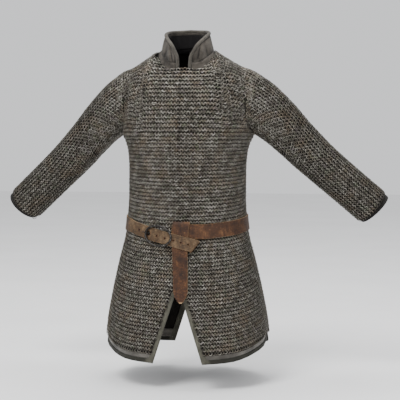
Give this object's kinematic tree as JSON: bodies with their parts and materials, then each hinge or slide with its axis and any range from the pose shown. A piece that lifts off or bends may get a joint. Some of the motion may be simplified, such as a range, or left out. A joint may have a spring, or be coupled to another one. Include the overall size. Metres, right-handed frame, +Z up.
{
  "type": "chainmail hauberk with belt",
  "caption": "Hollow mail shirt with three-quarter sleeves, open stand collar, slit skirt and a knotted leather belt with a ring buckle.",
  "frame": {"origin": "centre of the neck base, between the shoulders, where the wearer holds the shirt up", "axes": "+X towards the wearer's left, -Y towards the front, +Z up"},
  "size_m": [1.0868, 0.3416, 0.8924],
  "materials": {
    "mail": "worn grey rings",
    "hem_cloth": "matt woven cloth",
    "binding": "matt folded tape",
    "cuff_cloth": "matt dark cloth",
    "padded_cloth": "matt padded cloth",
    "leather": "worn, light at the edges",
    "buckle_steel": "dark, worn light at the edges"
  },
  "bodies": {
    "root": {"mail_front": "mail", "mail_back": "mail", "mail_sleeve_left": "mail", "mail_sleeve_right": "mail", "hem_cloth_front_left": "hem_cloth", "hem_cloth_front_right": "hem_cloth", "hem_cloth_back_left": "hem_cloth", "hem_cloth_back_right": "hem_cloth", "hem_binding_front_left": "binding", "hem_binding_front_right": "binding", "hem_binding_back_left": "binding", "hem_binding_back_right": "binding", "cuff_left": "cuff_cloth", "cuff_right": "cuff_cloth", "collar_stand": "padded_cloth", "collar_roll": "padded_cloth", "neck_yoke": "padded_cloth", "belt_strap": "leather", "buckle_ring": "buckle_steel", "buckle_tongue": "buckle_steel"}
  },
  "joints": []
}
